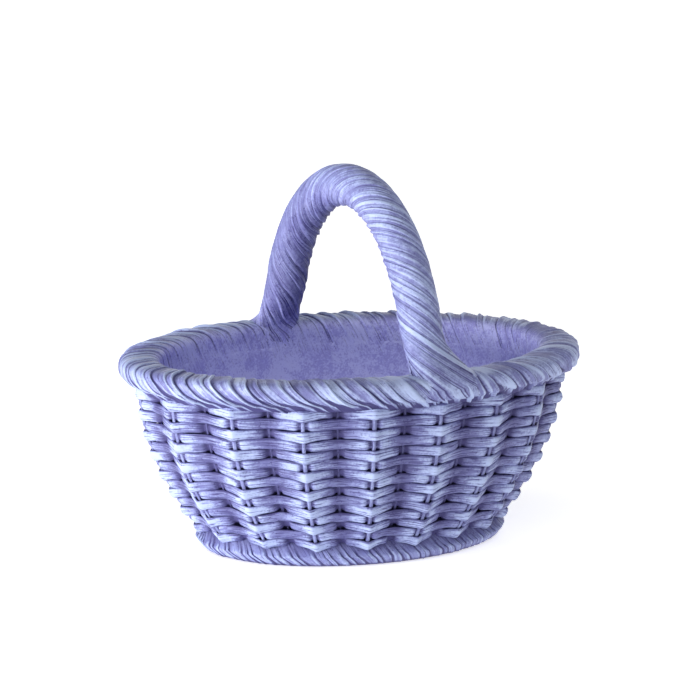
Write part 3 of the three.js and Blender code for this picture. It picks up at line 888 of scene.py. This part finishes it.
plinth = bowl_loop(wall_bottom, BOWL_OUTSIDE)
rim_back = bowl_loop(wall_top, BOWL_INSIDE) / (BEHIND_RIM, BEHIND_RIM, 1)
loops = [plinth * (share, share, 0) for share in (0.05, 0.35, 0.7, 0.985)]
loops.append(plinth * (1, 1, 0) + (0, 0, PLINTH_EDGE))
loops += [bowl_loop(level, BOWL_OUTSIDE) for level in np.linspace(wall_bottom, wall_top, OUTER_ROWS)]
first_inner = len(loops)
loops += [rim_back + (0, 0, level) for level in TOP_LEVELS]
inner_levels = np.linspace(wall_top, BOWL_FLOOR + FLOOR_ROUND, INNER_ROWS)
loops += [bowl_loop(level, BOWL_INSIDE) for level in inner_levels]
wall_foot = loops[-1]
for turn in np.radians(np.linspace(12, 90, CORNER_ROWS)):
    inset = FLOOR_ROUND * (1 - np.cos(turn)) * FLOOR_INSET
    shrink = 1 - inset / np.hypot(wall_foot[:, 0], wall_foot[:, 1])
    drop = FLOOR_ROUND * np.sin(turn)
    across = wall_foot[:, :2] * shrink[:, None]
    loops.append(np.column_stack([across, wall_foot[:, 2] - drop]))
floor_edge = loops[-1]
loops += [floor_edge * (share, share, 1) for share in (0.9, 0.7, 0.45, 0.2, 0.03)]
bowl_form = np.stack(loops)[:, ::-1]
print("bowl grid:", bowl_form.shape[:2])

# %% The bowl's mesh
LUMPS = 0.4 * MM
below = wall_top - bowl_form[..., 2]
inner_row = (np.arange(len(loops)) >= first_inner)[:, None]
share_rows = bowl_shares[None, ::-1]
lump = uneven(share_rows, np.clip(below / (wall_top - BOWL_FLOOR), 0, 1), (30, 9)) * inner_row
lump = lump * smooth(0, 8 * MM, bowl_form[..., 2] - BOWL_FLOOR) * smooth(RUN_OUT, 2 * RUN_OUT, below)
bowl_points = bowl_form + outward(bowl_form, False) * (LUMPS * lump)[..., None]
# Painted shade: the outer face, hidden behind the strips, is dark, and the dips between the lumps inside a
# little darker.
wash = np.where(inner_row, 0.2 * smooth(0, -0.8, lump), 0.7)
brush = inner_row * (INSIDE_BRUSH + 0.2 * lump)
lay = np.stack(np.broadcast_arrays(share_rows * rim_length * 6, below / 2, 0.5), axis=-1)
bowl = dress("smooth_bowl", bowl_points, False, (wash, brush, inner_row * 1.0), lay, "bowl", ["inner_bowl"])
print("bowl faces:", len(bowl.data.polygons))

# %% [markdown]
# ## The handle
# The handle is a thick rope bent into an arch. Its strands turn once round in about a hand's width. At
# each end the rope spreads: its outer side flows down over the rim's outer face, its inner side runs out
# on the rim's inner face, and it trails out along the rim on one side. The far leg is the near leg turned
# half round, as a twisted rope is the same from both ends, only that it trails out less and is twisted
# less tightly.

# %% Rails of a leg
HANDLE_RADIUS = 13 * MM
HANDLE_INSET = 28.6 * MM
FLARE_HEIGHT = 30 * MM
NEAR_FLOW, FAR_FLOW = 25 * MM, 14 * MM  # the outer side leaves the arch this far above the leg's end
DRAW_BACK_HEIGHT = 32 * MM  # the inner side draws back onto the rim from this far above the leg's end
PROUD = 0.5 * MM  # it stands this far out from the rim's inner face
RUN_IN, RUN_IN_HEIGHT = 2.5 * MM, 12 * MM  # and sinks into that face on this much height
DRAPE = 0.9 * MM  # the drape lies this far outside the rim at its top, and runs out below
DRAPE_TURN = math.radians(62)
ARCH_STEPS, DRAPE_STEPS, ARCH_FINE = 220, 40, 2000

handle_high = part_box("handle")[1]
half_span = rim_high.y - HANDLE_INSET
arch_rise = handle_high.z - HANDLE_RADIUS - rim_middle
rim_inside = level_point(np.array(np.pi / 2), wall_top, BOWL_INSIDE)[1]
turn = np.linspace(0, np.pi / 2, ARCH_FINE)
way = travelled(np.hypot(np.diff(half_span * np.sin(turn)), np.diff(arch_rise * np.cos(turn))))
arch_length = way[-1]
turn = np.interp(np.linspace(0, arch_length, ARCH_STEPS), way, turn)
middle = np.stack([-half_span * np.sin(turn), rim_middle + arch_rise * np.cos(turn)], axis=-1)
facing = np.stack([-arch_rise * np.sin(turn), half_span * np.cos(turn)], axis=-1)
facing = facing / np.linalg.norm(facing, axis=-1, keepdims=True)
above = middle[:, 1] - rim_middle
flare = np.clip(1 - above / FLARE_HEIGHT, 0, 1) ** 2

drape = np.linspace(0, 1, DRAPE_STEPS + 1)[1:]
rim_half_width = (rim_high.y - rim_inside) / 2
cover = DRAPE * (1 - 1.3 * drape)
drape_out = rounded(np.cos(drape * DRAPE_TURN), SQUARENESS)
drape_down = rounded(np.sin(drape * DRAPE_TURN), SQUARENESS)
drape_y = rim_half_width - rim_high.y - (rim_half_width + cover) * drape_out
drape_z = rim_middle - (rim_half_height + cover) * drape_down


def outer_rail(flow_height):
    """The outer side of a leg, which leaves the arch at a height and follows the rim's outer face."""
    flow = smooth(flow_height, 1 * MM, above)
    arch = middle + facing * (HANDLE_RADIUS + (HANDLE_INSET - HANDLE_RADIUS + DRAPE) * flow)[:, None]
    return np.concatenate([arch, np.stack([drape_y, drape_z], axis=-1)])


inner_rail = middle - facing * HANDLE_RADIUS
drawn = smooth(DRAW_BACK_HEIGHT, 0, inner_rail[:, 1] - rim_middle)
inner_rail[:, 0] -= (rim_inside - PROUD + inner_rail[:, 0]) * drawn
sunk = inner_rail[-1] - np.stack([RUN_IN * drape**2, RUN_IN_HEIGHT * drape], axis=-1)
inner_rail = np.concatenate([inner_rail, sunk])
flare = np.concatenate([flare, np.ones(DRAPE_STEPS)])
print("arch length", round(2 * arch_length, 3))

# %% Sections of a leg
NEAR_TRAIL, FAR_TRAIL, LEAD = 20 * MM, 5 * MM, 4 * MM
FOOT_SQUARENESS, INNER_SQUARENESS = 5.0, 3.0
SINK = 2.2 * MM  # the sides of the drape dip below the rim's face
SECTION_FINE = 721


def leg_section(row, around, rail, trail):
    """Points of a leg at a station, at shares around it from the inner side by -X to the outer side."""
    turn = np.linspace(-np.pi, np.pi, SECTION_FINE)
    squarer = np.where(np.cos(turn) > 0, FOOT_SQUARENESS, INNER_SQUARENESS) - 2
    power = 2 + squarer * flare[row] ** 2
    deep = rounded(np.cos(turn), power)
    side = rounded(np.sin(turn), power)
    x = side * (np.where(side > 0, trail, LEAD) * flare[row] + HANDLE_RADIUS)
    half_axis = (rail[row] - inner_rail[row]) / 2
    core = (rail[row] + inner_rail[row]) / 2
    bend = rim_high.y * (1 - np.sqrt(1 - (x / rim_high.x) ** 2)) + SINK * side**2 * (deep > 0)
    y = core[0] + half_axis[0] * deep + bend * flare[row]
    z = core[1] + half_axis[1] * deep
    loop = np.stack([x, y, z], axis=-1)
    way = travelled(np.linalg.norm(np.diff(loop, axis=0), axis=1))
    wanted = np.mod(around, 1) * way[-1]
    return np.stack([np.interp(wanted, way, loop[:, axis]) for axis in range(3)], axis=-1)


print("near foot", round(1000 * (2 * HANDLE_RADIUS + NEAR_TRAIL + LEAD)), "mm along the rim")

# %% Form of the handle
HANDLE_STRANDS = 11
HANDLE_PLACES = np.array([0, 0.06, 0.15, 0.24, 0.31, 0.36, 0.42, 0.5, 0.6, 0.7, 0.8, 0.88, 0.93, 0.97])
HANDLE_PITCH = 92 * MM  # one full turn of a strand
HANDLE_WANDER = 0.25
UNTWIST_START = arch_length - 25 * MM  # from here down the near leg's strands run steeper
UNTWIST, UNTWIST_EASE = 0.7, 10 * MM
TIGHTER, TIGHTER_EASE = 0.42, 30 * MM  # the near leg is twisted more tightly than the far leg
DRAPE_WAY = 8 * MM  # the twist goes on by this way over the drape
leg_rows = np.arange(ARCH_STEPS + DRAPE_STEPS)
leg_way = np.concatenate([np.linspace(0, arch_length, ARCH_STEPS), arch_length + drape * DRAPE_WAY])
handle_way = np.concatenate([-leg_way[:0:-1], leg_way])[:, None]
rows = np.concatenate([leg_rows[:0:-1], leg_rows])
phase, place, number = strand_lines(HANDLE_STRANDS, HANDLE_PLACES)
length_share = (handle_way - handle_way.min()) / np.ptp(handle_way)
wander = HANDLE_WANDER * uneven(phase[None, :] / HANDLE_STRANDS, length_share, (11, 18))
down = np.maximum(handle_way - UNTWIST_START, 0)
lag = UNTWIST * down * down / (down + UNTWIST_EASE)
near_way = np.maximum(handle_way, 0)
lead = TIGHTER * near_way * near_way / (near_way + TIGHTER_EASE)
around = (phase + wander) / HANDLE_STRANDS + (handle_way + lead - lag) / HANDLE_PITCH
near_rail, far_rail = outer_rail(NEAR_FLOW), outer_rail(FAR_FLOW)
sections = []
for station, row in enumerate(rows):
    if handle_way[station] < 0:
        sections.append(leg_section(row, -around[station], far_rail, FAR_TRAIL) * (-1, -1, 1))
    else:
        sections.append(leg_section(row, around[station], near_rail, NEAR_TRAIL))
handle_form = np.stack(sections)
print("handle grid:", handle_form.shape[:2])

# %% Strands of the handle
BAND = 0.36  # share of a strand's width that lies low, between the ribbons
RIBBON_STEP = 0.38 * MM
INNER_RELIEF = 1.3 * MM
HANDLE_FIBRE = 0.16 * MM
HANDLE_LEVEL = 0.9  # a strand of this height lies on the handle's form
strand_tones = chance.permutation(np.linspace(0, 1, HANDLE_STRANDS))[number]
tones = strand_tones[None, :] + 0.5 * uneven(number / HANDLE_STRANDS, length_share, (HANDLE_STRANDS, 9))
heights = chance.uniform(0.7, 1.15, HANDLE_STRANDS)[number]
thread = uneven((number + place) / HANDLE_STRANDS, length_share, (HANDLE_STRANDS * THREADS, 12))
fibre = 0.5 * chance.uniform(-1, 1, phase.size) + thread
ribbon = smooth(BAND - 0.06, BAND + 0.04, place) * smooth(1.0, 0.94, place)
ridge = heights * ramp(place, 0, 0.8, 0.6)
inward = smooth(0.2, -0.7, np.cos(2 * np.pi * (around - 0.5)))
spread = np.concatenate([flare[:0:-1], flare])[:, None]
outer_push = RIBBON_STEP * (heights * ribbon - HANDLE_LEVEL) * (1 - inward)
inner_push = INNER_RELIEF * (ridge - HANDLE_LEVEL) * inward * (1 - spread)
push = outer_push + inner_push + HANDLE_FIBRE * fibre
handle_points = handle_form + outward(handle_form, False) * push[..., None]
print("ribbons about", round(2 * np.pi * 1000 * HANDLE_RADIUS / HANDLE_STRANDS * (1 - BAND), 1), "mm wide")

# %% The handle's mesh
HANDLE_STRAND_WIDTH = 7 * MM
distant = smooth(20 * MM, -50 * MM, handle_way)
# Painted shade darkens the ribbons' edges, the bands between them, the inner side under the arch, and the
# far leg as a whole.
edges = line(place, BAND - 0.05, 0.05) + line(place, 0, 0.04) + line(place, 1, 0.04)
wash = (0.2 + 0.8 * spread) * edges * (1 - 0.6 * distant) + 0.08 * (1 - ribbon) - 0.15 * fibre
wash = wash + (0.2 * inward + 0.22 * distant) * (1 - 0.7 * spread)
# On the near leg the brush caught whole ribbons; the far leg, painted darker as shade, keeps only their
# lips.
lips = line(place, 0.9, 0.06) + 0.6 * line(place, BAND + 0.05, 0.05)
near_brush = 0.22 + ribbon * (0.18 + 0.18 * tones) + 0.28 * fibre
far_brush = 0.55 * lips + 0.15 * tones - 0.1 + 0.2 * fibre
brush = (near_brush * (1 - distant) + far_brush * distant) * (1 - 0.6 * inward)
lay = strand_lay(handle_way, place * HANDLE_STRAND_WIDTH, number)
# The far leg's foot takes the lighter inside coat, as painted light that hides the shade at its lower end.
masks = (np.clip(wash, 0, 1), np.clip(brush, 0, 1), 0.3 * inward + 0.7 * distant * np.sqrt(spread))
handle = dress("rope_handle", handle_points, False, masks, lay, "handle", ["handle"])
print("handle faces:", len(handle.data.polygons))
